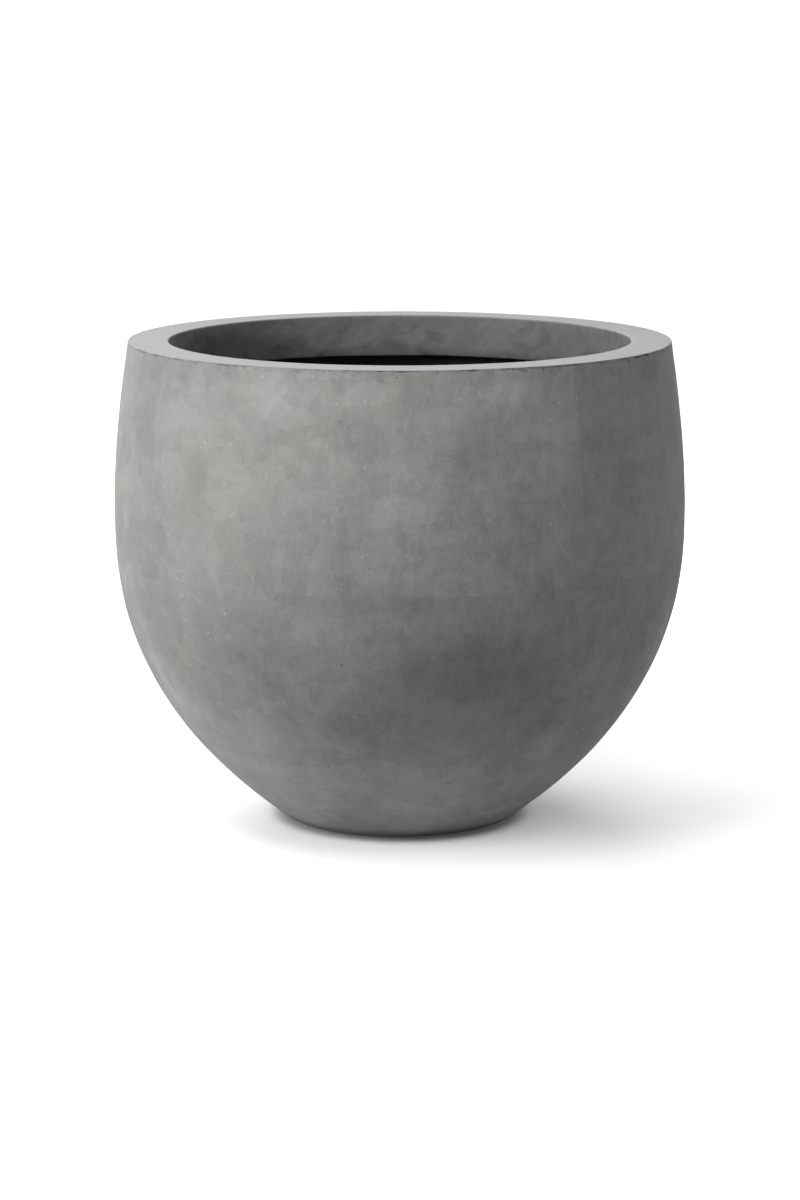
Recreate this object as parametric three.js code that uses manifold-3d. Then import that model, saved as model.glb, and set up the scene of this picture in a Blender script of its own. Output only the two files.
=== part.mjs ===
// Round concrete planter: a thin cast bowl on a small flat base, a rim ring bedded on its top edge,
// a black waterproof lining, a drain plug and four floor pads.
// Millimetres, +Z up, origin on the floor under the centre of the bowl.
import * as THREE from "three";
import { mergeVertices } from "three/addons/utils/BufferGeometryUtils.js";
import Module from "manifold-3d";

// Bowl, outside
const bowlHeight = 505; // from the underside of the base to the top of the rim
const bellyRadius = 300; // widest place
const bellyHeight = 321; // its height above the underside
const baseRadius = 120; // flat underside
const baseEdgeRadius = 8; // rounding between the underside and the wall
const footAngle = 36; // degrees, slope of the wall where it leaves the base
const footSweep = 200; // how far the wall keeps to that slope
const lowerSweep = 78; // how far below its widest place the wall stays upright
const upperSweep = 25; // and how far above it
const rimRadius = 283; // outer edge of the rim, at its top
const rimLean = 9.5; // degrees that the wall leans inwards at the rim
const rimSweep = 99; // how far below the rim it keeps to that lean

// Bowl, inside and underneath
const wallThickness = 12;
const floorThickness = 20;
const coveRadius = 40; // rounding between the floor and the inside of the wall
const drainRadius = 12.5;
const drainChamfer = 2;
const footRingWidth = 48; // flat ring that the pads are set in
const recessDepth = 4; // hollow of the underside inside that ring
const recessSlope = 6; // width of its sloping edge

// Rim ring
const rimWidth = 42; // flat top, from the mouth to the outer edge
const lipHeight = 1.2; // feathered edge of the ring that shows above the joint
const deckThickness = 14; // ring inside the wall
const collarDepth = 46; // from the top of the rim to the lower edge of the collar
const collarThickness = 12;
const collarRootRadius = 6; // between the back of the collar and the underside of the deck
const rimEdgeRadius = 0.9; // outer top edge
const mouthEdgeRadius = 1.5; // inner top edge
const collarEdgeRadius = 2; // lower edge of the collar, on the side of the mouth
const bedJoint = 0.3; // between the ring and the top edge of the wall
const spigotClearance = 0.5; // between the ring and the inside of the wall

// Lining
const liningThickness = 2;
const liningClearance = 0.3; // between the lining and the concrete
const liningHoleClearance = 0.5; // hole of the lining, wider than the drain by this

// Drain plug
const plugClearance = 0.3; // between the ribs of the plug and the drain
const plugSeatClearance = 0.3; // under its flange
const plugTipClearance = 1; // its tip ends this far above the hollow of the underside
const plugRibCount = 3;
const plugRibHeight = 1; // the ribs stand out from the shank by this
const plugTaper = 1; // the shank loses this much radius down its length
const plugFlangeRadius = 21;
const plugFlangeHeight = 4;
const plugNeckRadius = 6;
const plugNeckHeight = 7;
const plugKnobRadius = 10;
const plugKnobHeight = 7;
const plugEdgeRadius = 1.5; // flange and tip

// Floor pads
const padCount = 4;
const padRadius = 12;
const padThickness = 5;
const padProud = 3; // below the underside of the bowl
const padClearance = 0.3; // in the socket, around and above the pad
const padChamfer = 0.8;

// Fineness of the round surfaces
const bowlSegments = 64;
const plugSegments = 24;
const padSegments = 24;
const lowerSteps = 8;
const upperSteps = 5;
const coveSteps = 3;
const edgeSteps = 3;

const lean = THREE.MathUtils.degToRad(rimLean);
const ringSeat = bowlHeight - lipHeight; // underside of the ring's lip
const wallTop = ringSeat - bedJoint;
const jointRadius = rimRadius + lipHeight * Math.tan(lean); // outside of the bowl at that joint
const liningTop = bowlHeight - deckThickness - liningClearance;
const liningFloor = floorThickness + liningClearance + liningThickness;

const wasm = await Module();
wasm.setup();

const point = (radius, height) => new THREE.Vector2(radius, height);

// Points of an arc about a centre, both ends included; degrees from the direction away from the axis.
function arc(centre, radius, from, to, steps = edgeSteps) {
  return Array.from({ length: steps + 1 }, (_, i) => {
    const angle = THREE.MathUtils.degToRad(THREE.MathUtils.lerp(from, to, i / steps));
    return point(centre.x + radius * Math.cos(angle), centre.y + radius * Math.sin(angle));
  });
}

// A profile of radius and height, turned about Z. It starts and ends on the axis, or closes on itself.
function revolve(profile, segments) {
  return new THREE.LatheGeometry(profile, segments).rotateX(Math.PI / 2);
}

// A closed geometry as a solid that can be cut.
function solidOf(geometry) {
  geometry.deleteAttribute("normal");
  geometry.deleteAttribute("uv");
  const merged = mergeVertices(geometry, 1e-4);
  const mesh = new wasm.Mesh({
    numProp: 3,
    vertProperties: merged.attributes.position.array,
    triVerts: new Uint32Array(merged.index.array),
  });
  return new wasm.Manifold(mesh);
}

// A cut solid back as a geometry.
function geometryOf(body) {
  const mesh = body.getMesh();
  const geometry = new THREE.BufferGeometry();
  geometry.setAttribute("position", new THREE.BufferAttribute(mesh.vertProperties, 3));
  geometry.setIndex(new THREE.BufferAttribute(mesh.triVerts, 1));
  geometry.computeVertexNormals();
  return geometry;
}

// Outside of the wall from the rounded edge of the base to its widest place.
function lowerWall() {
  const slope = THREE.MathUtils.degToRad(footAngle);
  const footRadius = baseRadius + baseEdgeRadius * Math.sin(slope);
  const footHeight = baseEdgeRadius * (1 - Math.cos(slope));
  return new THREE.CubicBezierCurve(
    point(footRadius, footHeight),
    point(footRadius + footSweep * Math.cos(slope), footHeight + footSweep * Math.sin(slope)),
    point(bellyRadius, bellyHeight - lowerSweep),
    point(bellyRadius, bellyHeight),
  );
}

// Outside of the wall from its widest place to its top edge.
function upperWall() {
  return new THREE.CubicBezierCurve(
    point(bellyRadius, bellyHeight),
    point(bellyRadius, bellyHeight + upperSweep),
    point(jointRadius + rimSweep * Math.sin(lean), wallTop - rimSweep * Math.cos(lean)),
    point(jointRadius, wallTop),
  );
}

const lower = lowerWall();
const upper = upperWall();

// The place a given depth inside the outer surface, at parameter t of a wall curve.
function inset(curve, t, depth) {
  const along = curve.getTangent(t);
  const place = curve.getPoint(t);
  return point(place.x - along.y * depth, place.y + along.x * depth);
}

// The wall, a given depth inside its outer surface, from parameter start of the lower curve upwards.
function wallPoints(depth, start) {
  const below = Array.from({ length: lowerSteps + 1 }, (_, i) =>
    inset(lower, THREE.MathUtils.lerp(start, 1, i / lowerSteps), depth),
  );
  const above = Array.from({ length: upperSteps }, (_, i) =>
    inset(upper, (i + 1) / upperSteps, depth),
  );
  return [...below, ...above];
}

// The cove between the floor and the wall: its centre is one cove radius from each of them.
function findCove() {
  let low = 0;
  let high = 1;
  while (high - low > 1e-9) {
    const middle = (low + high) / 2;
    const centre = inset(lower, middle, wallThickness + coveRadius);
    if (centre.y < floorThickness + coveRadius) low = middle;
    else high = middle;
  }
  const along = lower.getTangent(low);
  return {
    start: low,
    centre: inset(lower, low, wallThickness + coveRadius),
    slope: THREE.MathUtils.radToDeg(Math.atan2(along.y, along.x)),
  };
}

const cove = findCove();

// The surface a given depth inside the floor, the cove and the wall, from a hole in the floor to a
// level top edge.
function hollowPoints(depth, holeRadius, top) {
  const turn = arc(cove.centre, coveRadius - depth, -90, cove.slope - 90, coveSteps);
  const side = wallPoints(wallThickness + depth, cove.start).slice(1);
  const below = side.filter((place) => place.y < top - 1);
  const last = below[below.length - 1];
  const next = side[below.length] ?? point(last.x - Math.tan(lean), last.y + 1);
  const share = (top - last.y) / (next.y - last.y);
  const edge = point(THREE.MathUtils.lerp(last.x, next.x, share), top);
  return [point(holeRadius, floorThickness + depth), ...turn, ...below, edge];
}

// Section of the bowl: foot ring, wall, level top edge, hollow, drain and the recess of the underside.
function bowlProfile() {
  const recessRadius = baseRadius - footRingWidth;
  const baseEdge = arc(point(baseRadius, baseEdgeRadius), baseEdgeRadius, -90, footAngle - 90);
  return [
    point(recessRadius, 0),
    ...baseEdge,
    ...wallPoints(0, 0).slice(1),
    ...hollowPoints(0, drainRadius + drainChamfer, wallTop).reverse(),
    point(drainRadius, floorThickness - drainChamfer),
    point(drainRadius, recessDepth),
    point(recessRadius - recessSlope, recessDepth),
    point(recessRadius, 0),
  ];
}

// Pads and their sockets share these places, evenly round the middle of the foot ring.
function padPlaces() {
  const pitchRadius = baseRadius - footRingWidth / 2;
  return Array.from({ length: padCount }, (_, i) => {
    const angle = (2 * Math.PI * (i + 0.5)) / padCount;
    return new THREE.Vector3(pitchRadius * Math.cos(angle), pitchRadius * Math.sin(angle), 0);
  });
}

function padSocket(place) {
  const radius = padRadius + padClearance;
  const depth = padThickness - padProud + padClearance;
  const profile = [point(0, -1), point(radius, -1), point(radius, depth), point(0, depth)];
  return solidOf(revolve(profile, padSegments).translate(place.x, place.y, place.z));
}

function bowlGeometry() {
  let body = solidOf(revolve(bowlProfile(), bowlSegments));
  for (const place of padPlaces()) body = body.subtract(padSocket(place));
  return geometryOf(body);
}

// Section of the rim ring, an angle: a deck that laps the top edge of the wall, and a collar that hangs
// down inside the mouth. Height zero is the underside of its outer lip.
function ringGeometry() {
  const mouth = rimRadius - rimWidth;
  const back = mouth + collarThickness;
  const spigot = hollowPoints(0, drainRadius, wallTop).at(-1).x - spigotClearance;
  const deckUnder = lipHeight - deckThickness;
  const collarUnder = lipHeight - collarDepth;
  const mouthEdge = point(mouth + mouthEdgeRadius, lipHeight - mouthEdgeRadius);
  const rimEdge = point(rimRadius - rimEdgeRadius, lipHeight - rimEdgeRadius);
  const collarRoot = point(back + collarRootRadius, deckUnder - collarRootRadius);
  const collarEdge = point(mouth + collarEdgeRadius, collarUnder + collarEdgeRadius);
  const profile = [
    point(jointRadius, 0),
    ...arc(rimEdge, rimEdgeRadius, rimLean, 90),
    ...arc(mouthEdge, mouthEdgeRadius, 90, 180),
    ...arc(collarEdge, collarEdgeRadius, 180, 270),
    point(back, collarUnder),
    ...arc(collarRoot, collarRootRadius, 180, 90),
    point(spigot, deckUnder),
    point(spigot, 0),
    point(jointRadius, 0),
  ];
  return revolve(profile, bowlSegments);
}

// The lining follows the hollow of the bowl from the drain up to the underside of the ring's deck.
function liningGeometry() {
  const holeRadius = drainRadius + liningHoleClearance;
  const outer = hollowPoints(liningClearance, holeRadius, liningTop);
  const inner = hollowPoints(liningClearance + liningThickness, holeRadius, liningTop);
  return revolve([...outer, ...inner.reverse(), outer[0]], bowlSegments);
}

// The shank of the plug from its tip up to the flange, with barbed ribs that get smaller downwards.
function shankPoints(length) {
  const ribRadius = drainRadius - plugClearance;
  const pitch = length / (plugRibCount + 1);
  const points = [];
  for (let rib = plugRibCount; rib >= 1; rib -= 1) {
    const loss = (plugTaper * rib) / plugRibCount;
    const height = -rib * pitch;
    points.push(point(ribRadius - plugRibHeight - loss, height - pitch / 2));
    points.push(point(ribRadius - loss, height));
    points.push(point(ribRadius - plugRibHeight - loss, height));
  }
  return points;
}

// Rubber plug: ribbed shank, flange, and a knob on a neck to pull it out by. Height zero is the
// underside of the flange.
function plugGeometry() {
  const length = liningFloor + plugSeatClearance - recessDepth - plugTipClearance;
  const shankRadius = drainRadius - plugClearance - plugRibHeight;
  const tipRadius = shankRadius - plugTaper - plugEdgeRadius;
  const flangeEdge = point(plugFlangeRadius - plugEdgeRadius, plugFlangeHeight - plugEdgeRadius);
  const neckTop = plugFlangeHeight + plugNeckHeight;
  const knobTop = neckTop + plugKnobHeight;
  const knobEdge = point(plugKnobRadius - plugKnobHeight / 2, neckTop + plugKnobHeight / 2);
  const profile = [
    point(0, -length),
    point(tipRadius, -length),
    ...shankPoints(length),
    point(shankRadius, 0),
    point(plugFlangeRadius, 0),
    ...arc(flangeEdge, plugEdgeRadius, 0, 90),
    point(plugNeckRadius, plugFlangeHeight),
    point(plugNeckRadius, neckTop),
    ...arc(knobEdge, plugKnobHeight / 2, -90, 90, 2 * edgeSteps),
    point(0, knobTop),
  ];
  return revolve(profile, plugSegments);
}

function padGeometry() {
  const profile = [
    point(0, 0),
    point(padRadius - padChamfer, 0),
    point(padRadius, padChamfer),
    point(padRadius, padThickness),
    point(0, padThickness),
  ];
  return revolve(profile, padSegments);
}

const castConcrete = { color: 0x8e8e8b, roughness: 0.85, metalness: 0 };
const trowelledConcrete = { color: 0x9a9a97, roughness: 0.8, metalness: 0 };
const blackCoating = { color: 0x1a1a1a, roughness: 0.6, metalness: 0 };
const blackRubber = { color: 0x232323, roughness: 0.7, metalness: 0 };

function piece(name, geometry, look) {
  const mesh = new THREE.Mesh(geometry, new THREE.MeshStandardMaterial(look));
  mesh.name = name;
  return mesh;
}

// The pads stand on the floor, and everything else stands on them.
const planter = new THREE.Group();
const bowl = new THREE.Group();
bowl.position.z = padProud;
planter.add(bowl);

bowl.add(piece("bowl_shell", bowlGeometry(), castConcrete));

const ring = piece("rim_ring", ringGeometry(), trowelledConcrete);
ring.position.z = ringSeat;
bowl.add(ring);

bowl.add(piece("inner_liner", liningGeometry(), blackCoating));

const plug = piece("drain_plug", plugGeometry(), blackRubber);
plug.position.z = liningFloor + plugSeatClearance;
bowl.add(plug);

padPlaces().forEach((place, i) => {
  const pad = piece(`floor_pad_${i + 1}`, padGeometry(), blackRubber);
  pad.position.copy(place);
  planter.add(pad);
});

export default planter;
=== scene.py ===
# Round concrete planter: cast bowl, bedded rim ring, black lining, drain plug and floor pads.
# Metres, +Z up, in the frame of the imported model.
import math

import bpy
import numpy as np
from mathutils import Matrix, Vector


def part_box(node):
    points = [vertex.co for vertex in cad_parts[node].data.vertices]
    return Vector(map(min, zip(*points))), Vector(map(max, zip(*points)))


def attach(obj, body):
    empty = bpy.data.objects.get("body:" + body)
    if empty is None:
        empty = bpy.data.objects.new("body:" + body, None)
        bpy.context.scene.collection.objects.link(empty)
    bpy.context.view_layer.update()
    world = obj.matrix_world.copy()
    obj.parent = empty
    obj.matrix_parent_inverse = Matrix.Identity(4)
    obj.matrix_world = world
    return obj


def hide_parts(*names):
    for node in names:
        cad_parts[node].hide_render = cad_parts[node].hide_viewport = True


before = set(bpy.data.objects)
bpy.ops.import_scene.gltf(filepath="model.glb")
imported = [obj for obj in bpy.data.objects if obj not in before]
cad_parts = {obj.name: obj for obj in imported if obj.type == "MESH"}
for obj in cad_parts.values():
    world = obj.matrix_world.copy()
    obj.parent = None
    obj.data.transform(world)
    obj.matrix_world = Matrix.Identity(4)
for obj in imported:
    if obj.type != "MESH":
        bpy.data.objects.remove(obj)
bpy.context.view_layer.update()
print("frame loaded")

# Camera, as it stood for the photograph.

photo = {
    "width": 800,
    "height": 1200,
    "focal": 3371,  # pixels
    "axisX": 399.7,  # pixel column of the bowl's axis
}
viewpoint = {
    "distance": 3.51,  # from the axis
    "height": 0.890,
    "tilt": 10.65,  # degrees down
}


def placeCamera():
    # the lens is the sensor's width times the focal length over the picture's longer side, and the camera
    # stands aside by the axis's distance from the middle column, scaled up to the planter
    data = bpy.data.cameras.new("camera")
    data.sensor_width = 36
    data.lens = data.sensor_width * photo["focal"] / photo["height"]
    data.clip_end = 50
    camera = bpy.data.objects.new("camera", data)
    bpy.context.scene.collection.objects.link(camera)
    aside = (photo["width"] / 2 - photo["axisX"]) * viewpoint["distance"] / photo["focal"]
    camera.location = (aside, -viewpoint["distance"], viewpoint["height"])
    camera.rotation_euler = (math.radians(90 - viewpoint["tilt"]), 0, 0)
    bpy.context.scene.camera = camera


placeCamera()
print("camera placed")

# Shader nodes written as sums.


class Wire:
    # an output socket that Python arithmetic can be done on
    def __init__(self, shader, socket):
        self.shader = shader
        self.socket = socket

    def __add__(self, other):
        return self.shader.maths("ADD", self, other)

    def __radd__(self, other):
        return self.shader.maths("ADD", other, self)

    def __sub__(self, other):
        return self.shader.maths("SUBTRACT", self, other)

    def __rsub__(self, other):
        return self.shader.maths("SUBTRACT", other, self)

    def __mul__(self, other):
        return self.shader.maths("MULTIPLY", self, other)

    def __truediv__(self, other):
        return self.shader.maths("DIVIDE", self, other)

    def __pow__(self, other):
        return self.shader.maths("POWER", self, other)

    def smooth(self, low, high):
        # 0 below low, 1 above high, eased between; the other way round if low is the larger
        settings = {"interpolation_type": "SMOOTHSTEP"}
        values = {"Value": self, "From Min": low, "From Max": high}
        return self.shader.node("ShaderNodeMapRange", settings, values)["Result"]


class Shader:
    # the nodes of one material or world
    def __init__(self, owner, outputKind="ShaderNodeOutputMaterial"):
        owner.use_nodes = True
        self.owner = owner
        self.tree = owner.node_tree
        self.tree.nodes.clear()
        self.output = self.tree.nodes.new(outputKind)

    def node(self, kind, settings=None, values=None):
        # any node: its settings first, then the values or links of its sockets; gives its outputs by name
        made = self.tree.nodes.new(kind)
        for name, value in (settings or {}).items():
            setattr(made, name, value)
        for name, value in (values or {}).items():
            self.plug(made.inputs[name], value)
        return {output.name: Wire(self, output) for output in made.outputs if output.enabled}

    def plug(self, socket, value):
        if isinstance(value, Wire):
            self.tree.links.new(value.socket, socket)
        elif socket.type == "RGBA" and len(value) == 3:
            socket.default_value = (*value, 1)
        else:
            socket.default_value = value

    def finish(self, wire):
        # the last link, into the output node
        self.tree.links.new(wire.socket, self.output.inputs["Surface"])
        return self.owner

    def maths(self, operation, first, second=0.0):
        return self.node("ShaderNodeMath", {"operation": operation}, {0: first, 1: second})["Value"]

    def vector(self, operation, values):
        return self.node("ShaderNodeVectorMath", {"operation": operation}, values)

    def swing(self, start, *patterns):
        # the start, plus each pattern's distance from its middle value of a half times its strength
        for pattern, strength in patterns:
            start = start + (pattern - 0.5) * strength
        return start

    def place(self):
        # the point on the piece, in metres
        return self.node("ShaderNodeTexCoord")["Object"]

    def axes(self, spot):
        return self.node("ShaderNodeSeparateXYZ", {}, {"Vector": spot})

    def stretch(self, spot, scale):
        # a scale under 1 draws a pattern out along that axis
        values = {"Vector": spot, "Scale": scale}
        return self.node("ShaderNodeMapping", {"vector_type": "POINT"}, values)["Vector"]

    def bend(self, spot, size, reach):
        # the point moved about by soft noise, so that a pattern's edges wander
        values = {"Scale": 1 / size, "Detail": 3.0, "Vector": spot}
        push = self.node("ShaderNodeTexNoise", {}, values)["Color"]
        push = self.vector("SUBTRACT", {0: push, 1: (0.5, 0.5, 0.5)})["Vector"]
        return self.vector("MULTIPLY_ADD", {0: push, 1: (reach, reach, reach), 2: spot})["Vector"]

    def spread(self, spot, azimuth, radius, height, wide, tall):
        # 1 at a place on the wall and falling softly to 0 at its half width and half height
        a = math.radians(azimuth)
        values = {"Vector": spot, "Location": (radius * math.sin(a), -radius * math.cos(a), height),
                  "Rotation": (0, 0, a), "Scale": (wide, 0.15, tall)}
        local = self.node("ShaderNodeMapping", {"vector_type": "TEXTURE"}, values)["Vector"]
        return self.vector("LENGTH", {0: local})["Value"].smooth(1.0, 0.15)

    def noise(self, size, spot, detail=3.0, roughness=0.5, warp=0.0):
        # cloudy value around 0.5, with blotches of about the given size in metres
        values = {"Scale": 1 / size, "Detail": detail, "Roughness": roughness, "Distortion": warp,
                  "Vector": spot}
        return self.node("ShaderNodeTexNoise", {"normalize": True}, values)["Fac"]

    def spots(self, spot, cell, share, radius):
        # 1 inside scattered round spots: of the cells of the given size, a share hold a spot
        cells = self.node("ShaderNodeTexVoronoi", {"feature": "F1"},
                          {"Scale": 1 / cell, "Randomness": 1.0, "Vector": spot})
        lot = self.node("ShaderNodeSeparateColor", {}, {"Color": cells["Color"]})
        chosen = lot["Red"].smooth(1 - share, 1 - share + 0.004)
        reach = (lot["Green"] * 0.6 + 0.4) * (radius / cell)
        return chosen * (cells["Distance"] / reach).smooth(1.0, 0.55)

    def colour(self, factor, first, second):
        return self.mix({"data_type": "RGBA"}, {"Factor": factor, "A": first, "B": second})

    def shade(self, colour, value):
        # a colour made lighter or darker by a number that varies
        grey = self.node("ShaderNodeCombineColor", {}, {"Red": value, "Green": value, "Blue": value})
        settings = {"data_type": "RGBA", "blend_type": "MULTIPLY"}
        return self.mix(settings, {"Factor": 1.0, "A": colour, "B": grey["Color"]})

    def mix(self, settings, values):
        # a Mix node has sockets of one name for each kind of data, so the enabled ones are taken
        made = self.tree.nodes.new("ShaderNodeMix")
        for name, value in settings.items():
            setattr(made, name, value)
        for name, value in values.items():
            self.plug(next(s for s in made.inputs if s.name == name and s.enabled), value)
        return Wire(self, next(s for s in made.outputs if s.enabled))

    def bump(self, height, depth, strength):
        values = {"Height": height, "Distance": depth, "Strength": strength}
        return self.node("ShaderNodeBump", {}, values)["Normal"]

    def surface(self, colour, roughness, normal, specular):
        values = {"Base Color": colour, "Roughness": roughness, "Normal": normal,
                  "Specular IOR Level": specular}
        return self.finish(self.node("ShaderNodeBsdfPrincipled", {}, values)["BSDF"])

    def seenDirectly(self):
        # 1 for the camera, in reflections and through glass
        rays = self.node("ShaderNodeLightPath")
        return self.maths("MAXIMUM", rays["Is Camera Ray"],
                          self.maths("MAXIMUM", rays["Is Glossy Ray"], rays["Is Transmission Ray"]))


# Surfaces: grids of points worked out as whole arrays.


def cornerArc(centreR, centreZ, radius, fromAngle, toAngle, steps):
    # points of an arc: centre plus radius times (cosine, sine), degrees from the way out
    angle = np.radians(np.linspace(fromAngle, toAngle, steps + 1))
    return np.stack([centreR + radius * np.cos(angle), centreZ + radius * np.sin(angle)], 1)


def run(start, end, steps):
    # points of a straight run without its ends
    share = np.linspace(0, 1, steps + 1)[1:-1, None]
    return np.array(start) * (1 - share) + np.array(end) * share


def bezier(points, share):
    # cubic curve: the four points weighted by the third-degree blend of the share
    a, b, c, d = (np.array(p)[None] for p in points)
    t = share[:, None]
    return (1 - t) ** 3 * a + 3 * (1 - t) ** 2 * t * b + 3 * (1 - t) * t**2 * c + t**3 * d


def ripples(turn, along, seed, count, turns, pitches):
    # sum of cosines, each a whole number of times round and with its own pitch along; about 1 high
    rng = np.random.default_rng(seed)
    total = np.zeros(np.broadcast(turn, along).shape)
    for _ in range(count):
        times = rng.integers(turns[0], turns[1] + 1)
        rate = 2 * math.pi / rng.uniform(*pitches) * rng.choice((-1, 1))
        total += np.cos(times * turn + rate * along + rng.uniform(0, 2 * math.pi))
    return total / math.sqrt(2 * count)


def dents(turn, away, radius, seed, count, widths, reaches):
    # the deepest of the smooth dents at each point: each falls off as a bell with the distance round and
    # away from an edge
    rng = np.random.default_rng(seed)
    total = np.zeros(np.broadcast(turn, away).shape)
    for _ in range(count):
        spot = rng.uniform(-math.pi, math.pi)
        gap = (turn - spot + math.pi) % (2 * math.pi) - math.pi
        width = rng.uniform(*widths)
        reach = rng.uniform(*reaches)
        depth = rng.uniform(0.4, 1.0)
        total = np.maximum(total, depth * np.exp(-((gap * radius / width) ** 2) - (away / reach) ** 2))
    return total


def profileNormals(profile, closed):
    # the way out of the material, square to the profile: its direction turned by a right angle
    if closed:
        ahead = np.roll(profile, -1, 0) - np.roll(profile, 1, 0)
    else:
        ahead = np.gradient(profile, axis=0)
    ahead /= np.maximum(np.linalg.norm(ahead, axis=1, keepdims=True), 1e-9)
    return np.stack([ahead[:, 1], -ahead[:, 0]], 1)


def span(profile, around):
    # the turn of each direction, as a column, and the length along the profile, as a row
    turn = np.linspace(0, 2 * math.pi, around, endpoint=False)[:, None]
    length = np.cumsum(np.linalg.norm(np.diff(profile, axis=0, prepend=profile[:1]), axis=1))[None]
    return turn, length


def revolve(name, radius, height, closed=True):
    # the grid of (direction, place along the profile) turned about Z; closed profiles join on themselves,
    # open ones end in a pole
    around, along = radius.shape
    turn = np.linspace(0, 2 * math.pi, around, endpoint=False)[:, None]
    points = np.stack([radius * np.cos(turn), radius * np.sin(turn), height], 2).reshape(-1, 3)
    row = np.arange(around)[:, None]
    column = np.arange(along if closed else along - 1)[None]
    nextRow = (row + 1) % around
    nextColumn = (column + 1) % along
    corners = [row * along + column, nextRow * along + column,
               nextRow * along + nextColumn, row * along + nextColumn]
    quads = np.stack(np.broadcast_arrays(*corners), 2).reshape(-1, 4)
    faces = [quads]
    if not closed:
        ends = np.array([[0, 0, height[0, 0]], [0, 0, height[0, -1]]])
        first, last = len(points), len(points) + 1
        points = np.concatenate([points, ends])
        row, nextRow = row[:, 0], nextRow[:, 0]
        faces.append(np.stack([np.full(around, first), nextRow * along, row * along], 1))
        faces.append(np.stack([np.full(around, last), row * along + along - 1,
                               nextRow * along + along - 1], 1))
    return meshFrom(name, points, faces)


def revolvePlain(name, profile, around):
    # an open profile, the same in every direction
    radius = np.broadcast_to(profile[:, 0], (around, len(profile)))
    height = np.broadcast_to(profile[:, 1], radius.shape)
    return revolve(name, radius, height, closed=False)


def meshFrom(name, points, faces):
    # puts the arrays into a mesh, turned so that its faces point outwards
    triangles = np.concatenate([np.concatenate([f[:, [0, 1, 2]], f[:, [0, 2, 3]]]) if f.shape[1] == 4 else f
                                for f in faces])
    a, b, c = points[triangles[:, 0]], points[triangles[:, 1]], points[triangles[:, 2]]
    if np.einsum("ij,ij->i", a, np.cross(b, c)).sum() < 0:
        faces = [f[:, ::-1] for f in faces]
    mesh = bpy.data.meshes.new(name)
    sizes = np.concatenate([np.full(len(f), f.shape[1]) for f in faces])
    corners = np.concatenate([f.ravel() for f in faces]).astype(np.int32)
    mesh.vertices.add(len(points))
    mesh.vertices.foreach_set("co", points.astype(np.float32).ravel())
    mesh.loops.add(len(corners))
    mesh.loops.foreach_set("vertex_index", corners)
    mesh.polygons.add(len(sizes))
    mesh.polygons.foreach_set("loop_start", (np.cumsum(sizes) - sizes).astype(np.int32))
    mesh.polygons.foreach_set("use_smooth", np.ones(len(sizes), bool))
    mesh.update(calc_edges=True)
    mesh.validate()
    piece = bpy.data.objects.new(name, mesh)
    bpy.context.scene.collection.objects.link(piece)
    return piece


def dress(piece, material, body, slot, *nodes):
    # the piece's material, the body it moves with, the nodes it takes the place of, and its slot, which is
    # not used
    piece.data.materials.append(material)
    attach(piece, body)
    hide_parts(*nodes)


# Bowl: cast wall and floor.

bowlLow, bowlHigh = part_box("bowl_shell")
ringLow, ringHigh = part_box("rim_ring")
bowlShape = {
    "belly": bowlHigh[0],  # widest radius
    "bellyHeight": bowlLow[2] + 0.321,
    "base": 0.120,
    "baseEdge": 0.008,
    "footAngle": 36,  # degrees from level at which the wall leaves the base
    "footSweep": 0.200,  # handles of the two curves of the wall, from the base upwards
    "lowerSweep": 0.078,
    "upperSweep": 0.025,
    "rimSweep": 0.099,
    "joint": ringHigh[0],  # outer radius at the joint under the rim
    "lean": 9.5,  # degrees from upright at the joint
    "wall": 0.012,
    "floor": 0.020,
    "cove": 0.040,
    "drain": 0.0125,
    "drainEdge": 0.002,
    "drainLowEdge": 0.001,
    "footRing": 0.048,
    "recess": 0.004,
    "recessSlope": 0.006,
    "topEdge": 0.00012,  # rounding of the wall's outer top edge
    "bed": 0.00028,  # mortar that stands up into the joint
    "closeReach": 0.006,  # depth under the joint over which the rows are close together
    "around": 560,
    "wave": 0.00022,  # height of the hand-cast unevenness
    "flush": 0.015,  # depth over which it fades out towards the joint
    "slowWave": {"seed": 3, "count": 26, "turns": (0, 9), "pitches": (0.09, 0.4)},
    "fineWave": {"seed": 4, "count": 40, "turns": (4, 46), "pitches": (0.02, 0.09)},
    "chip": 0.0013,  # depth of the chips along the joint
    "smallChips": {"seed": 11, "count": 56, "widths": (0.0022, 0.0040), "reaches": (0.0007, 0.0018)},
    "largeChips": {"seed": 12, "count": 13, "widths": (0.003, 0.008), "reaches": (0.0015, 0.0034)},
}


def wallCurve(shape, lowerSteps, upperSteps):
    # two cubic curves, base edge to belly and belly to joint; the last stretch is closer spaced
    slope = math.radians(shape["footAngle"])
    lean = math.radians(shape["lean"])
    foot = (shape["base"] + shape["baseEdge"] * math.sin(slope),
            bowlLow[2] + shape["baseEdge"] * (1 - math.cos(slope)))
    belly = (shape["belly"], shape["bellyHeight"])
    top = (shape["joint"], bowlHigh[2])
    footHandle = (foot[0] + shape["footSweep"] * math.cos(slope),
                  foot[1] + shape["footSweep"] * math.sin(slope))
    topHandle = (top[0] + shape["rimSweep"] * math.sin(lean), top[1] - shape["rimSweep"] * math.cos(lean))
    lower = bezier([foot, footHandle, (belly[0], belly[1] - shape["lowerSweep"]), belly],
                   np.linspace(0, 1, lowerSteps + 1))
    upper = bezier([belly, (belly[0], belly[1] + shape["upperSweep"]), topHandle, top],
                   1 - (1 - np.linspace(0, 1, upperSteps + 1)) ** 1.6)
    return np.concatenate([lower, upper[1:]])


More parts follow.
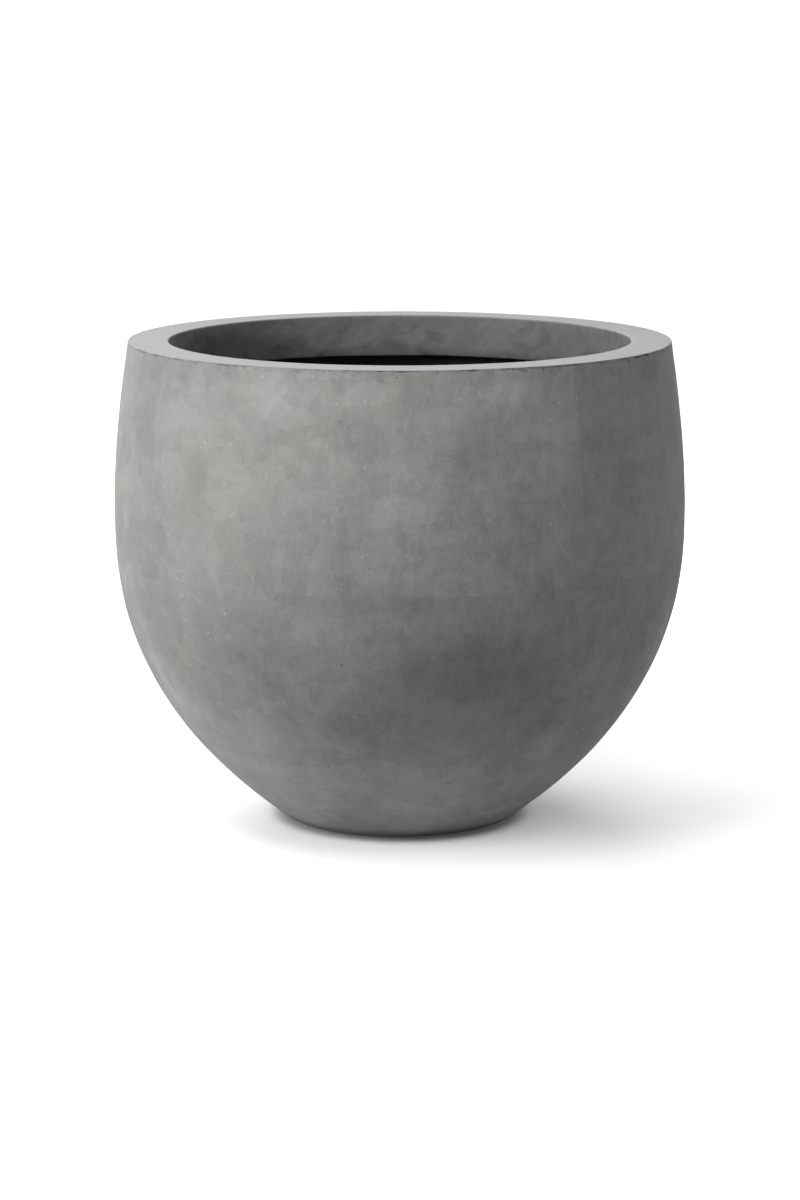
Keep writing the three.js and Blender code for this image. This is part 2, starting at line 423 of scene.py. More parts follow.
def hollow(shape, depth, hole, top, lowerSteps, upperSteps):
    # parallel to the wall and floor, a depth further in: hole, floor, cove, wall and a level top edge
    wall = wallCurve(shape, lowerSteps, upperSteps)
    out = profileNormals(wall, False)
    level = bowlLow[2] + shape["floor"]
    centres = wall - out * (shape["wall"] + shape["cove"])
    start = int(np.argmax(centres[:, 1] >= level + shape["cove"]))
    share = (level + shape["cove"] - centres[start - 1, 1]) / (centres[start, 1] - centres[start - 1, 1])
    centre = centres[start - 1] * (1 - share) + centres[start] * share
    way = out[start - 1] * (1 - share) + out[start] * share
    turn = cornerArc(centre[0], centre[1], shape["cove"] - depth, -90,
                     math.degrees(math.atan2(way[1], way[0])), 10)
    side = (wall - out * (shape["wall"] + depth))[start:]
    side = side[side[:, 1] < top - 0.0015]
    ahead = side[-1] - side[-2]
    edge = side[-1] + ahead * (top - side[-1, 1]) / ahead[1]
    flat = run((hole, level + depth), turn[0], 12)
    return np.concatenate([[(hole, level + depth)], flat, turn, side, [edge]])


def bowlProfile(shape):
    # round the section: base edge, wall, joint, the landing under the ring, the hollow and the underside
    lean = shape["lean"]
    wall = wallCurve(shape, 46, 30)
    base = cornerArc(shape["base"], bowlLow[2] + shape["baseEdge"], shape["baseEdge"], -90,
                     shape["footAngle"] - 90, 5)
    top = bowlHigh[2] + shape["bed"]
    topEdge = shape["topEdge"]
    edge = cornerArc(shape["joint"] - topEdge, top - topEdge, topEdge, lean, 90, 4)
    reach = shape["closeReach"]
    close = run(wall[-1] + np.array([reach * math.tan(math.radians(lean)), -reach]), edge[0], 11)
    wall = wall[wall[:, 1] < top - reach - 0.0005]
    inside = hollow(shape, 0.0, shape["drain"] + shape["drainEdge"], bowlHigh[2], 24, 10)[::-1]
    landing = run(edge[-1], inside[0], 4)
    low = bowlLow[2]
    level = low + shape["floor"]
    roof = low + shape["recess"]
    ring = shape["base"] - shape["footRing"]
    slope = shape["recessSlope"]
    small = shape["drainLowEdge"]
    under = np.concatenate([
        [(shape["drain"], level - shape["drainEdge"]), (shape["drain"], level - 0.008)],
        cornerArc(shape["drain"] + small, roof + small, small, 180, 270, 3),
        run((shape["drain"], roof), (ring - slope, roof), 8),
        [(ring - slope, roof), (ring - slope / 2, low + shape["recess"] / 2), (ring, low)],
        run((ring, low), (shape["base"], low), 5)])
    return np.concatenate([base[:-1], wall, close, edge, landing, inside, under])


def makeBowl(shape):
    # the profile turned about Z, moved out by the ripples of the wall and in by the chips near the joint
    profile = bowlProfile(shape)
    out = profileNormals(profile, True)
    turn, length = span(profile, shape["around"])
    outside = ((profile[:, 0] > 0.10) & (out[:, 0] > 0.2))[None].astype(float)
    slow = ripples(turn, length, **shape["slowWave"])
    fine = ripples(turn, length, **shape["fineWave"])
    away = bowlHigh[2] - profile[None, :, 1]
    fade = np.clip(away / shape["flush"], 0, 1)
    push = outside * shape["wave"] * (slow - 1.4 + 0.4 * fine) * fade
    nearTop = (away < 0.012) & (profile[None, :, 0] > shape["joint"] - 0.004)
    small = dents(turn, away, shape["joint"], **shape["smallChips"])
    large = dents(turn, away, shape["joint"], **shape["largeChips"])
    push = push - nearTop * shape["chip"] * np.maximum(small * 0.55, large)
    radius = profile[None, :, 0] + out[None, :, 0] * push
    height = profile[None, :, 1] + out[None, :, 1] * np.minimum(push, 0)
    return revolve("bowl", radius, height)


# Rim ring: deck, lip, spigot and collar.

ringShape = {
    "outer": 0.283,  # radius at the top
    "lean": 9.5,
    "width": 0.042,
    "lip": 0.0012,
    "deck": 0.014,
    "collarWall": 0.012,
    "root": 0.006,
    "topEdge": 0.0008,
    "lipEdge": 0.00012,
    "mouthEdge": 0.0015,
    "collarEdge": 0.002,
    "collarBackEdge": 0.0006,
    "spigotGap": 0.0008,
    "spigotEdge": 0.001,
    "around": 1080,
    "flat": 0.00010,  # height of the trowel's unevenness on the top
    "rough": 0.00016,  # and of the former's on the collar
    "slowWave": {"seed": 21, "count": 20, "turns": (2, 14), "pitches": (0.03, 0.12)},
    "fineWave": {"seed": 22, "count": 40, "turns": (10, 120), "pitches": (0.008, 0.04)},
    "chip": 0.0008,
    "chips": {"seed": 31, "count": 64, "widths": (0.0010, 0.0040), "reaches": (0.0004, 0.0012)},
}


def ringProfile(shape):
    # round the section: lip, rim, top, mouth edge, collar, its root, the spigot and the landing on the wall
    top = ringHigh[2]
    low = ringLow[2]
    mouth = shape["outer"] - shape["width"]
    back = mouth + shape["collarWall"]
    under = top - shape["deck"]
    landing = top - shape["lip"]
    joint = ringHigh[0]
    spigot = joint - bowlShape["wall"] / math.cos(math.radians(shape["lean"])) - shape["spigotGap"]
    lipEdge, topEdge, mouthEdge = shape["lipEdge"], shape["topEdge"], shape["mouthEdge"]
    collarEdge, backEdge, root = shape["collarEdge"], shape["collarBackEdge"], shape["root"]
    tipEdge = shape["spigotEdge"]
    lip = cornerArc(joint - lipEdge, landing + lipEdge, lipEdge, -90, shape["lean"], 4)
    rim = cornerArc(shape["outer"] - topEdge, top - topEdge, topEdge, shape["lean"], 90, 7)
    inward = cornerArc(mouth + mouthEdge, top - mouthEdge, mouthEdge, 90, 180, 6)
    collarIn = cornerArc(mouth + collarEdge, low + collarEdge, collarEdge, 180, 270, 5)
    collarOut = cornerArc(back - backEdge, low + backEdge, backEdge, 270, 360, 3)
    corner = cornerArc(back + root, under - root, root, 180, 90, 5)
    tip = cornerArc(spigot - tipEdge, under + tipEdge, tipEdge, -90, 0, 3)
    return np.concatenate([
        lip, run(lip[-1], rim[0], 2), rim, run(rim[-1], inward[0], 14), inward,
        run(inward[-1], collarIn[0], 13), collarIn, collarOut,
        run(collarOut[-1], corner[0], 3), corner, tip,
        [(spigot, landing - 0.0006), (spigot, landing)], run((spigot, landing), lip[0], 3)])


def makeRing(shape):
    # the profile turned about Z, moved out by faint ripples and in by the chips of its lower outer edge
    profile = ringProfile(shape)
    out = profileNormals(profile, True)
    turn, length = span(profile, shape["around"])
    r = profile[None, :, 0]
    z = profile[None, :, 1]
    away = z - (ringHigh[2] - shape["lip"])
    mouth = shape["outer"] - shape["width"]
    slow = ripples(turn, length, **shape["slowWave"])
    fine = ripples(turn, length, **shape["fineWave"])
    shown = (r < mouth + 0.003) | (away > 0.001)
    collar = (r < mouth + 0.004) & (z < ringHigh[2] - 0.004)
    lip = (r > ringHigh[0] - 0.006) & (away < 0.0016)
    push = shown * shape["flat"] * (slow + 0.5 * fine - 2.0) + collar * shape["rough"] * (slow + fine)
    push = push - lip * shape["chip"] * dents(turn, away, ringHigh[0], **shape["chips"])
    return revolve("rim", r + out[None, :, 0] * push, z + out[None, :, 1] * push)


# Lining, plug and pads.

liningShape = {
    "gap": 0.0003,
    "thickness": 0.002,
    "hole": 0.013,
    "around": 360,
    "wave": 0.00025,
    "waves": {"seed": 41, "count": 30, "turns": (1, 30), "pitches": (0.03, 0.2)},
    "calm": (0.05, 0.15),  # distances from the axis over which the unevenness sets in
}


def makeLining(shape):
    # the hollow's surface and one parallel to it; the inner face is uneven, as a rolled coating is
    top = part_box("inner_liner")[1][2]
    outer = hollow(bowlShape, shape["gap"], shape["hole"], top, 40, 16)
    inner = hollow(bowlShape, shape["gap"] + shape["thickness"], shape["hole"], top, 40, 16)
    profile = np.concatenate([outer, inner[::-1]])
    out = profileNormals(profile, True)
    turn, length = span(profile, shape["around"])
    order = np.arange(len(profile))
    facing = (order >= len(outer) + 2) & (order < len(profile) - 2)
    start, full = shape["calm"]
    calm = np.clip((profile[None, :, 0] - start) / (full - start), 0, 1)
    push = facing[None] * shape["wave"] * (ripples(turn, length, **shape["waves"]) - 1.0) * calm
    return revolve("lining", profile[None, :, 0] + out[None, :, 0] * push,
                   profile[None, :, 1] + out[None, :, 1] * push)


plugShape = {
    "shank": 0.0112,
    "taper": 0.001,
    "rib": 0.0009,
    "ribs": 3,
    "flange": 0.021,
    "flangeHeight": 0.004,
    "flangeLowEdge": 0.0005,
    "groove": (0.0150, 0.0008),  # radius and half width of the groove in the flange's top
    "neck": 0.006,
    "neckHeight": 0.007,
    "neckFoot": 0.0015,
    "neckHead": 0.001,
    "knob": 0.010,
    "knobHeight": 0.007,
    "edge": 0.0015,
    "around": 128,
}


def makePlug(shape):
    # ribbed shank, flange with a moulded groove, neck and knob, as one profile from pole to pole
    low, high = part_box("drain_plug")
    base = high[2] - shape["flangeHeight"] - shape["neckHeight"] - shape["knobHeight"]
    length = base - low[2]
    down = np.linspace(1, 0, 70)  # 1 at the tip
    beats = down * (shape["ribs"] + 1)
    barrel = shape["shank"] - shape["taper"] * down
    barb = np.clip(1 - (beats % 1) * 2.2, 0, 1) * (down > 0.5 / (shape["ribs"] + 1)) * (beats >= 1)
    shank = np.stack([barrel + shape["rib"] * barb, base - down * length], 1)
    edge = shape["edge"]
    tip = cornerArc(shank[0, 0] - edge, low[2] + edge, edge, -90, 0, 5)
    shank = shank[shank[:, 1] > low[2] + edge + 0.0002]
    top = base + shape["flangeHeight"]
    lowEdge = shape["flangeLowEdge"]
    flange = np.concatenate([
        run((shape["shank"], base), (shape["flange"], base), 5),
        cornerArc(shape["flange"] - lowEdge, base + lowEdge, lowEdge, -90, 0, 3),
        cornerArc(shape["flange"] - edge, top - edge, edge, 0, 90, 6),
        cornerArc(shape["groove"][0], top, shape["groove"][1], 0, -180, 6)])
    neck, neckFoot, neckHead = shape["neck"], shape["neckFoot"], shape["neckHead"]
    foot = cornerArc(neck + neckFoot, top + neckFoot, neckFoot, 270, 180, 4)
    neckTop = top + shape["neckHeight"]
    under = cornerArc(neck + neckHead, neckTop - neckHead, neckHead, 180, 90, 4)
    half = shape["knobHeight"] / 2
    knob = cornerArc(shape["knob"] - half, neckTop + half, half, -90, 78, 14)
    dimple = np.array([(0.0048, high[2] - 0.0001), (0.0035, high[2] - 0.0006), (0.0015, high[2] - 0.0008)])
    profile = np.concatenate([[(0.004, low[2])], tip, shank, flange, foot, under, knob, dimple])
    return revolvePlain("plug", profile, shape["around"])


padShape = {
    "count": 4,
    "radius": 0.012,
    "edge": 0.0008,
    "topEdge": 0.0003,
    "groove": (0.0075, 0.0006),  # radius and half width of the groove in the underside
    "around": 96,
}


def makePad(shape, number):
    # disc with rounded edges and a round groove in its underside, moved to its socket
    low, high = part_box(f"floor_pad_{number}")
    middle = (np.array(low) + np.array(high)) / 2
    radius, edge, topEdge = shape["radius"], shape["edge"], shape["topEdge"]
    groove, half = shape["groove"]
    profile = np.concatenate([
        [(0.002, low[2])], run((0.002, low[2]), (groove - half, low[2]), 4),
        cornerArc(groove, low[2], half, 180, 0, 6),
        cornerArc(radius - edge, low[2] + edge, edge, -90, 0, 5),
        run((radius, low[2] + edge), (radius, high[2] - topEdge), 4),
        cornerArc(radius - topEdge, high[2] - topEdge, topEdge, 0, 90, 3), [(0.004, high[2])]])
    pad = revolvePlain(f"pad{number}", profile, shape["around"])
    points = np.empty(len(pad.data.vertices) * 3, np.float32)
    pad.data.vertices.foreach_get("co", points)
    points = points.reshape(-1, 3) + np.array([middle[0], middle[1], 0], np.float32)
    pad.data.vertices.foreach_set("co", points.ravel())
    pad.data.update()
    return pad


# Finishes: every pattern is worked out from the point on the piece, in metres.

castLook = {
    "mid": (0.2785, 0.2808, 0.2710),
    "warm": (0.2798, 0.2808, 0.2670),
    "specular": 0.45,
    "roughness": 0.80,
    "relief": (0.0009, 0.8),  # depth and strength of the bumps
    # how much lighter or darker each pattern makes the skin
    "clouds": 0.30,
    "upright": 0.085,
    "level": 0.075,
    "small": 0.050,
    "mottle": 0.34,
    "fine": 0.25,
    "grain": 0.13,
    "steeled": 0.45,  # share of the last three on the smoother left side
    "runs": 0.06,
    "smudges": 0.09,
    "curls": 0.16,
    "pale": 0.62,
    "pinholes": 0.45,
    "pits": 0.50,
    # painted shade at the foot, where the wall turns under against the floor
    "foot": 0.45,
    "pours": (0.340, 0.288),  # heights of the faint lines left between pours
    "mouldSeam": 37,  # degrees from the camera's side
    "beyondSeam": 0.13,
    "ridge": 0.40,
    "joint": bowlHigh[2],  # height of the joint under the rim
    # grime that hangs from the joint, and a painted shadow line right under it: on the lit side, and the
    # painted shade that the shaded side has besides
    "grime": (0.22, 0.34),
    "smears": (0.16, 0.0),
    "drips": (0.12, 0.22),
    "lineShade": (0.10, 0.25),
    "radius": 0.29,  # of the wall where the stained and painted patches lie
    # stained patches of the front, some of them painted light on the lower edges at both sides and painted
    # shade by the foot at the right: azimuth, height, half width, half height, lighter or darker by
    "stainsAndPaintedLight": (
        (-20, 0.480, 0.140, 0.042, 0.15),
        (-43, 0.460, 0.060, 0.030, 0.06),
        (-22, 0.412, 0.110, 0.075, 0.10),
        (-10, 0.415, 0.050, 0.040, 0.08),
        (-64, 0.450, 0.075, 0.100, -0.14),
        (20, 0.487, 0.060, 0.028, 0.09),
        (13, 0.430, 0.042, 0.055, -0.14),
        (0, 0.372, 0.055, 0.065, 0.20),
        (1, 0.281, 0.040, 0.030, -0.14),
        (-28, 0.218, 0.070, 0.046, -0.15),
        (-8, 0.165, 0.060, 0.040, -0.07),
        (12, 0.212, 0.120, 0.070, -0.26),
        (-4, 0.142, 0.100, 0.060, -0.15),
        (-62, 0.150, 0.080, 0.070, 0.36),
        (-67, 0.205, 0.060, 0.050, 0.20),
        (-70, 0.265, 0.060, 0.060, 0.14),
        (-56, 0.096, 0.055, 0.040, 0.12),
        (76, 0.190, 0.080, 0.090, 0.40),
        (46, 0.190, 0.080, 0.070, 0.16),
        (38, 0.110, 0.040, 0.035, 0.18),
        (48, 0.042, 0.085, 0.036, -0.52),
        (68, 0.455, 0.070, 0.100, -0.16),
        (62, 0.496, 0.055, 0.026, -0.26),
    ),
}


def castConcrete(look):
    # grey times a tone: 1 with the clouds and texture added, times one factor for each kind of mark
    s = Shader(bpy.data.materials.new("castConcrete"))
    spot = s.place()
    parts = s.axes(spot)
    z = parts["Z"]
    azimuth = s.maths("ARCTAN2", parts["X"], 0 - parts["Y"])
    bent = s.bend(spot, 0.060, 0.014)
    curled = s.bend(spot, 0.012, 0.008)
    tall = s.stretch(bent, (1, 1, 0.45))
    flat = s.stretch(bent, (1, 1, 2.2))
    # soft clouds, and over them flat patches with an edge, upright and level, where the skin dried unevenly
    broad = s.noise(0.17, tall, 2)
    clouds = s.noise(0.060, tall, 3, 0.5)
    upright = s.noise(0.036, tall, 3, 0.45).smooth(0.480, 0.520)
    level = s.noise(0.060, flat, 3, 0.45).smooth(0.485, 0.525)
    small = s.noise(0.019, s.stretch(curled, (1, 1, 0.7)), 2, 0.45).smooth(0.47, 0.54)
    mottle = s.noise(0.014, bent, 4, 0.55)
    fine = s.noise(0.0048, s.stretch(spot, (1, 1, 0.5)), 3, 0.6)
    grain = s.noise(0.0019, spot, 2, 0.6)
    tone = s.swing(1, (broad, look["clouds"]), (clouds, look["clouds"]), (upright, look["upright"]),
                   (level, look["level"]), (small, look["small"]))
    # the skin is rougher round on the right, and steeled smoother on the left
    rough = azimuth.smooth(-1.2, 1.0) + look["steeled"]
    texture = s.swing(0, (mottle, look["mottle"]), (fine, look["fine"]), (grain, look["grain"]))
    tone = tone + texture * rough
    # upright runs of the release oil, dark smudges, and pale curls left by bubbles on the mould
    runs = s.noise(0.010, s.stretch(bent, (1, 1, 0.12)), 3, 0.6).smooth(0.56, 0.72)
    smudges = s.noise(0.022, flat, 4, 0.6).smooth(0.63, 0.72)
    ring = s.maths("ABSOLUTE", s.noise(0.019, curled, 2, 0.5) - 0.5)
    curls = ring.smooth(0.016, 0.004) * s.noise(0.016, spot, 2).smooth(0.56, 0.62)
    tone = tone * (1 - runs * look["runs"]) * (1 - smudges * look["smudges"]) * (1 + curls * look["curls"])
    # faint lines between pours, and the mould's upright seam
    wave = (s.noise(0.10, spot, 2) - 0.5) * 0.010
    broken = s.noise(0.09, spot, 3, 0.6).smooth(0.46, 0.58)
    for pour in look["pours"]:
        under = pour + wave - z
        line = under.smooth(0.0040, 0.0010) * 0.03 + under.smooth(0.020, 0.0) * 0.05
        tone = tone * (1 - under.smooth(0.0, 0.0012) * line * broken)
    past = azimuth - math.radians(look["mouldSeam"]) + wave * 0.8 + (mottle - 0.5) * 0.012
    beyond = past.smooth(-0.012, 0.010) * past.smooth(1.10, 0.20) * z.smooth(0.30, 0.40)
    ridge = past.smooth(-0.012, -0.001) * past.smooth(0.004, 0.0) * z.smooth(0.30, 0.42)
    tone = tone * (1 - beyond * look["beyondSeam"]) * (1 + ridge * fine.smooth(0.59, 0.66) * look["ridge"])
    # stains, with painted light on the lower edges at both sides and painted shade by the foot at the right
    for stainAzimuth, middle, wide, high, gain in look["stainsAndPaintedLight"]:
        tone = tone * (1 + s.spread(bent, stainAzimuth, look["radius"], middle, wide, high) * gain)
    # pale specks of sand, pinholes and a few larger air pits
    pale = s.spots(spot, 0.0100, 0.50, 0.0015) * s.noise(0.045, spot, 2).smooth(0.40, 0.55)
    pinholes = s.spots(spot, 0.014, 0.30, 0.0013)
    pits = s.spots(spot, 0.050, 0.20, 0.0018)
    tone = tone * (1 + pale * look["pale"]) * (1 - pinholes * look["pinholes"]) * (1 - pits * look["pits"])
    # grime, smears and drips that hang from the joint, and a painted shadow line right under it; the extra
    # darkening on the shaded side is painted shade
    below = look["joint"] - z
    shaded = azimuth.smooth(0.10, 0.60)
    grime = below.smooth(0.0065, 0.0005) * s.noise(0.0065, spot, 4, 0.6, 0.5).smooth(0.50, 0.64)
    smears = s.noise(0.022, s.stretch(bent, (1, 1, 0.5)), 4, 0.6).smooth(0.54, 0.66)
    drips = s.noise(0.0060, s.stretch(curled, (1, 1, 0.3)), 3, 0.6).smooth(0.58, 0.66)
    dirtAndShade = {
        "grime": grime,
        "smears": below.smooth(0.042, 0.002) * smears,
        "drips": below.smooth(0.030, 0.002) * drips * s.noise(0.050, spot, 2).smooth(0.50, 0.60),
        # painted shadow line right under the joint
        "lineShade": below.smooth(0.0018, 0.0003) * s.noise(0.035, spot, 3).smooth(0.46, 0.56),
    }
    for kind, amount in dirtAndShade.items():
        lit, besides = look[kind]
        tone = tone * (1 - amount * (lit + shaded * besides))
    foot = z.smooth(0.0150, 0.0050) * (0.7 + clouds * 0.6)  # painted shade where the wall turns under against the floor, darker towards the bottom
    tone = tone * (1 - foot * look["foot"])
    colour = s.colour(s.noise(0.11, spot, 3).smooth(0.42, 0.62), look["mid"], look["warm"])
    roughness = s.swing(look["roughness"], (clouds, 0.16), (upright, 0.05), (mottle, 0.16)) - runs * 0.06
    relief = mottle * 0.6 + fine * 0.5 + grain * 0.35 + curls * 0.10 + ridge * 0.05 - grime * 0.5
    relief = relief + pale * 0.25 - pinholes * 0.7 - pits * 1.1
    return s.surface(s.shade(colour, tone), roughness, s.bump(relief, *look["relief"]), look["specular"])


rimLook = {
    "top": (0.2290, 0.2290, 0.2274),
    "collar": (0.165, 0.1662, 0.159),
    "black": (0.040, 0.040, 0.039),  # the black the collar darkens to towards its lower edge
    "specular": 0.45,
    "roughness": 0.78,
    "relief": (0.00028, 0.8),
    "outer": ringShape["outer"],
    "mouth": ringShape["outer"] - ringShape["width"],
    "high": ringHigh[2],
    "low": ringLow[2],
    "pinholes": (0.35, 0.4),  # on the top and on the collar
    "pale": 0.16,
    "edge": 0.09,  # how pale the edges are: wear, and a painted highlight on the rounded arrises
    "back": 0.11,  # painted shade: how much darker the back of the top is
    "left": 0.05,  # and painted light: how much lighter its left
    "mist": (0.55, 0.32, 0.16),  # how far the collar darkens to that black: at its lower edge, in smears and as a thin wash
    "sideShade": (0.32, 0.16),  # painted shade: how much darker the collar is at the left and at the right
    "joint": 0.20,
}


def rimConcrete(look):
    # two greys, top and collar, each times its own tone, and grime in the joint
    s = Shader(bpy.data.materials.new("rimConcrete"))
    spot = s.place()
    parts = s.axes(spot)
    x, y, z = parts["X"], parts["Y"], parts["Z"]
    out = (x * x + y * y) ** 0.5
    bent = s.bend(spot, 0.030, 0.014)
    clouds = s.noise(0.050, bent, 4, 0.58)
    mottle = s.noise(0.014, bent, 4, 0.62)
    fine = s.noise(0.0045, spot, 3, 0.6)
    grain = s.noise(0.0018, spot, 2, 0.6)
    pinholes = s.spots(spot, 0.012, 0.08, 0.0006)
    pale = s.spots(spot, 0.008, 0.14, 0.0007)
    # the trowelled top, with pale edges: wear, and a painted highlight on the rounded arrises
    tone = s.swing(1, (clouds, 0.26), (mottle, 0.22), (fine, 0.16), (grain, 0.14))
    edge = s.maths("MAXIMUM", out.smooth(look["outer"] - 0.0022, look["outer"] - 0.0004),
                   out.smooth(look["mouth"] + 0.0022, look["mouth"] + 0.0005))
    edge = edge * s.noise(0.020, spot, 3, 0.6).smooth(0.34, 0.60)
    topPinholes, collarPinholes = look["pinholes"]
    tone = tone * (1 + edge * look["edge"]) * (1 - pinholes * topPinholes) * (1 + pale * look["pale"])
    # painted shade at the back of the top and painted light at its left
    tone = tone * (1 - y.smooth(-0.05, 0.24) * look["back"]) * (1 + x.smooth(-0.10, -0.26) * look["left"])
    top = s.shade(look["top"], tone)
    # the collar, cast against a rough former, darkening to black towards its lower edge
    smear = s.noise(0.042, s.stretch(bent, (1, 1, 1.5)), 5, 0.6, 0.5)
    wash = s.noise(0.085, s.stretch(bent, (1, 1, 1.2)), 3, 0.55)
    left = (0 - x).smooth(0.04, 0.20)  # where the darkening reaches higher
    reach = (z - look["low"]) + (wash - 0.5) * 0.06 - left * 0.022
    lowMist, smearMist, washMist = look["mist"]
    mist = reach.smooth(0.018, 0.004) * lowMist + smear.smooth(0.50, 0.62) * smearMist
    mist = mist + wash.smooth(0.52, 0.66) * washMist
    atLeft, atRight = look["sideShade"]
    # painted shade on the collar's sides
    sideShade = (0 - x).smooth(0.09, 0.21) * atLeft + x.smooth(0.08, 0.20) * atRight
    dark = s.swing(1 - sideShade, (smear, 0.5), (mottle, 0.35), (fine, 0.16), (grain, 0.10))
    dark = dark * (1 - pinholes * collarPinholes)
    collar = s.shade(s.colour(mist, look["collar"], look["black"]), dark)
    down = look["high"] - z
    inward = out.smooth(look["mouth"] + 0.0030, look["mouth"] + 0.0012) * down.smooth(0.0008, 0.0026)
    hidden = down.smooth(0.0040, 0.0060) * out.smooth(0.262, 0.258)
    colour = s.colour(s.maths("MAXIMUM", inward, hidden), top, collar)
    # grime in the joint under the lip
    joint = down.smooth(0.0006, 0.0013) * out.smooth(look["outer"] - 0.004, look["outer"] - 0.001)
    joint = joint * s.noise(0.018, spot, 4, 0.6).smooth(0.44, 0.58)
    colour = s.shade(colour, 1 - joint * look["joint"])
    roughness = s.swing(look["roughness"], (clouds, 0.20), (mottle, 0.14)) - edge * 0.06
    relief = mottle * 0.5 + fine * 0.5 + grain * 0.35 - pinholes * 2.0
    return s.surface(colour, roughness, s.bump(relief, *look["relief"]), look["specular"])


coatingLook = {
    "black": (0.040, 0.040, 0.039),
    "specular": 0.4,
    "roughness": 0.52,
    "relief": (0.0006, 0.8),
    "dust": 0.5,
}


def blackCoating(look):
    # black with the marks of the roller, laps between its strokes and a little dust
    s = Shader(bpy.data.materials.new("blackCoating"))
    spot = s.place()
    roll = s.noise(0.011, s.stretch(s.bend(spot, 0.02, 0.008), (1, 1, 0.6)), 4, 0.6)
    fine = s.noise(0.0025, spot, 2, 0.6)
    dust = s.noise(0.06, spot, 4, 0.6).smooth(0.5, 0.8)
    laps = s.noise(0.05, s.stretch(spot, (1, 1, 0.25)), 3, 0.55)
    tone = s.swing(1, (roll, 0.6), (laps, 0.5)) + dust * look["dust"]
    roughness = s.swing(look["roughness"], (roll, 0.3), (laps, 0.2)) + dust * 0.2
    normal = s.bump(roll + fine * 0.3, *look["relief"])
    return s.surface(s.shade(look["black"], tone), roughness, normal, look["specular"])


rubberLook = {
    "black": (0.022, 0.022, 0.023),
    "specular": 0.45,
    "roughness": 0.60,
    "relief": (0.00012, 0.7),
    "dust": 0.7,
}


def blackRubber(look):
    # black with a fine moulded texture and dust in patches
    s = Shader(bpy.data.materials.new("blackRubber"))
    spot = s.place()
    fine = s.noise(0.0012, spot, 3, 0.6)
    cloud = s.noise(0.006, spot, 3, 0.6)
    dust = s.noise(0.010, spot, 4, 0.6).smooth(0.45, 0.75)
    tone = s.swing(1, (fine, 0.4), (cloud, 0.3)) + dust * look["dust"]
    roughness = s.swing(look["roughness"] + dust * 0.2, (fine, 0.2), (cloud, 0.1))
    normal = s.bump(fine + cloud, *look["relief"])
    return s.surface(s.shade(look["black"], tone), roughness, normal, look["specular"])


rubber = blackRubber(rubberLook)
dress(makeBowl(bowlShape), castConcrete(castLook), "bowl", "cast_concrete", "bowl_shell")
print("bowl made")
dress(makeRing(ringShape), rimConcrete(rimLook), "bowl", "rim_concrete", "rim_ring")
print("rim made")
dress(makeLining(liningShape), blackCoating(coatingLook), "bowl", "black_lining", "inner_liner")
dress(makePlug(plugShape), rubber, "plug", "black_rubber", "drain_plug")
for number in range(1, padShape["count"] + 1):
    dress(makePad(padShape, number), rubber, "bowl", "black_rubber", f"floor_pad_{number}")
print("lining, plug and pads made")

# Floor, world and lamps.

stageLook = {
    "half": 6.0,  # half the width of the floor
    "shown": 0.95,  # the floor's grey as the camera sees it
    "bounce": (0.8, 0.3, 0.2),  # and as it lights the planter: close by, further out and far away
    "bounceReach": ((0.25, 0.40), (0.6, 1.0)),  # distances over which one gives way to the next
    "glow": 0.26,  # added for the camera, so that the floor is white outside the shadow
    "glowFar": 1.0,  # away from the planter
    "glowReach": (0.9, 2.2),
    "glowLeft": 0.14,  # painted light: more of it on the lit side, over the lamps' faint shadow there
    "contactShadow": 0.50,  # painted contact shadow: how much darker the floor is where it meets the planter
    "contactReach": (0.146, 0.120),
    "contactGlow": 1.6,  # how much faster than that the glow fades in the painted contact shadow
    "ambient": 0.02,
}


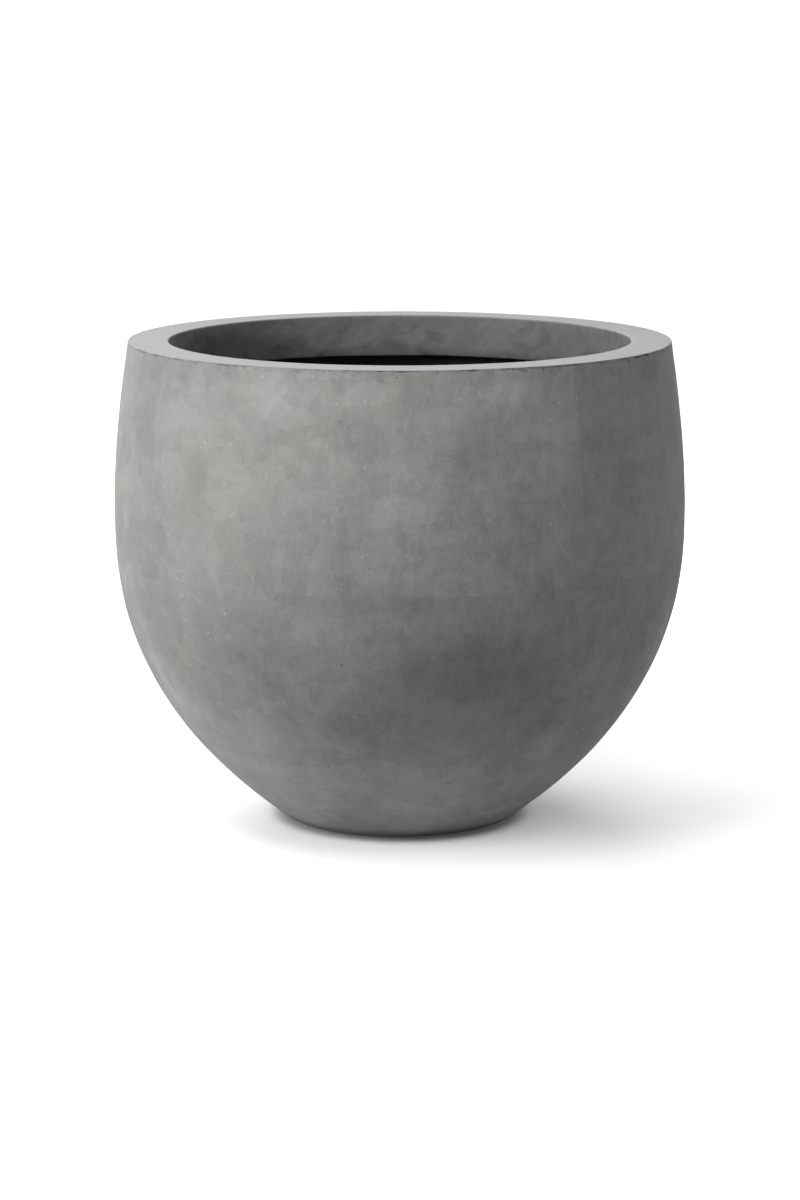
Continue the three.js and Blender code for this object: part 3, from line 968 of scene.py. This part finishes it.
def makeStage(look):
    # white floor: a matt grey that differs for the camera and for the bounce, plus a glow seen directly,
    # with a painted contact shadow round the planter and painted light on the lit side
    half = look["half"]
    corners = [(-half, -half, 0), (half, -half, 0), (half, half, 0), (-half, half, 0)]
    mesh = bpy.data.meshes.new("floor")
    mesh.from_pydata(corners, [], [(0, 1, 2, 3)])
    floor = bpy.data.objects.new("floor", mesh)
    bpy.context.scene.collection.objects.link(floor)
    s = Shader(bpy.data.materials.new("floor"))
    spot = s.place()
    forCamera = s.node("ShaderNodeLightPath")["Is Camera Ray"]
    away = s.vector("LENGTH", {0: spot})["Value"]
    near, middle, far = look["bounce"]
    first, second = look["bounceReach"]
    bounce = near + away.smooth(*first) * (middle - near) + away.smooth(*second) * (far - middle)
    # painted contact shadow round the planter
    contactShadow = away.smooth(*look["contactReach"]) * look["contactShadow"]
    grey = (bounce + forCamera * (look["shown"] - bounce)) * (1 - contactShadow)
    matt = s.node("ShaderNodeBsdfDiffuse", {}, {"Color": s.shade((1, 1, 1), grey)})["BSDF"]
    # painted light: more glow on the lit side
    side = s.axes(spot)["X"].smooth(-0.05, -0.30)
    glow = away.smooth(*look["glowReach"]) * (look["glowFar"] - look["glow"])
    glow = glow + side * look["glowLeft"] + look["glow"]
    strength = s.seenDirectly() * glow * (1 - contactShadow * look["contactGlow"])
    light = s.node("ShaderNodeEmission", {}, {"Color": (1, 1, 1), "Strength": strength})["Emission"]
    mesh.materials.append(s.finish(s.node("ShaderNodeAddShader", {}, {0: matt, 1: light})["Shader"]))


def makeWorld(look):
    # white to the camera and in reflections, and a faint light on everything
    world = bpy.data.worlds.new("world")
    bpy.context.scene.world = world
    s = Shader(world, "ShaderNodeOutputWorld")
    strength = s.seenDirectly() * (1 - look["ambient"]) + look["ambient"]
    values = {"Color": (1, 1, 1), "Strength": strength}
    s.finish(s.node("ShaderNodeBackground", {}, values)["Background"])


lampRig = {
    "aim": (0, 0, 0.28),
    "distance": 3.0,
    "size": 1.4,
    # azimuth from the camera's side, negative to the left; height in degrees; watts
    "lamps": {
        "key": (-50, 25, 42),
        "keyHigh": (-50, 65, 30),
        "side": (-90, 5, 40),
        "fill": (25, 45, 22.5),
        "overhead": (0, 65, 14),
        "backLeft": (-140, 40, 33),
        "back": (180, 40, 40),
        "edge": (120, 10, 11),
    },
}


def addLamp(rig, name, azimuth, height, power):
    # a square lamp on a sphere round the planter, turned to face it
    data = bpy.data.lights.new(name, "AREA")
    data.shape = "SQUARE"
    data.size = rig["size"]
    data.energy = power
    lamp = bpy.data.objects.new(name, data)
    bpy.context.scene.collection.objects.link(lamp)
    a, h = math.radians(azimuth), math.radians(height)
    way = np.array([math.sin(a) * math.cos(h), -math.cos(a) * math.cos(h), math.sin(h)])
    lamp.location = np.array(rig["aim"]) + way * rig["distance"]
    lamp.rotation_euler = (math.pi / 2 - h, 0, a)


makeStage(stageLook)
makeWorld(stageLook)
for lampName, settings in lampRig["lamps"].items():
    addLamp(lampRig, lampName, *settings)
bpy.context.scene.view_settings.view_transform = "Standard"
print("stage lit")
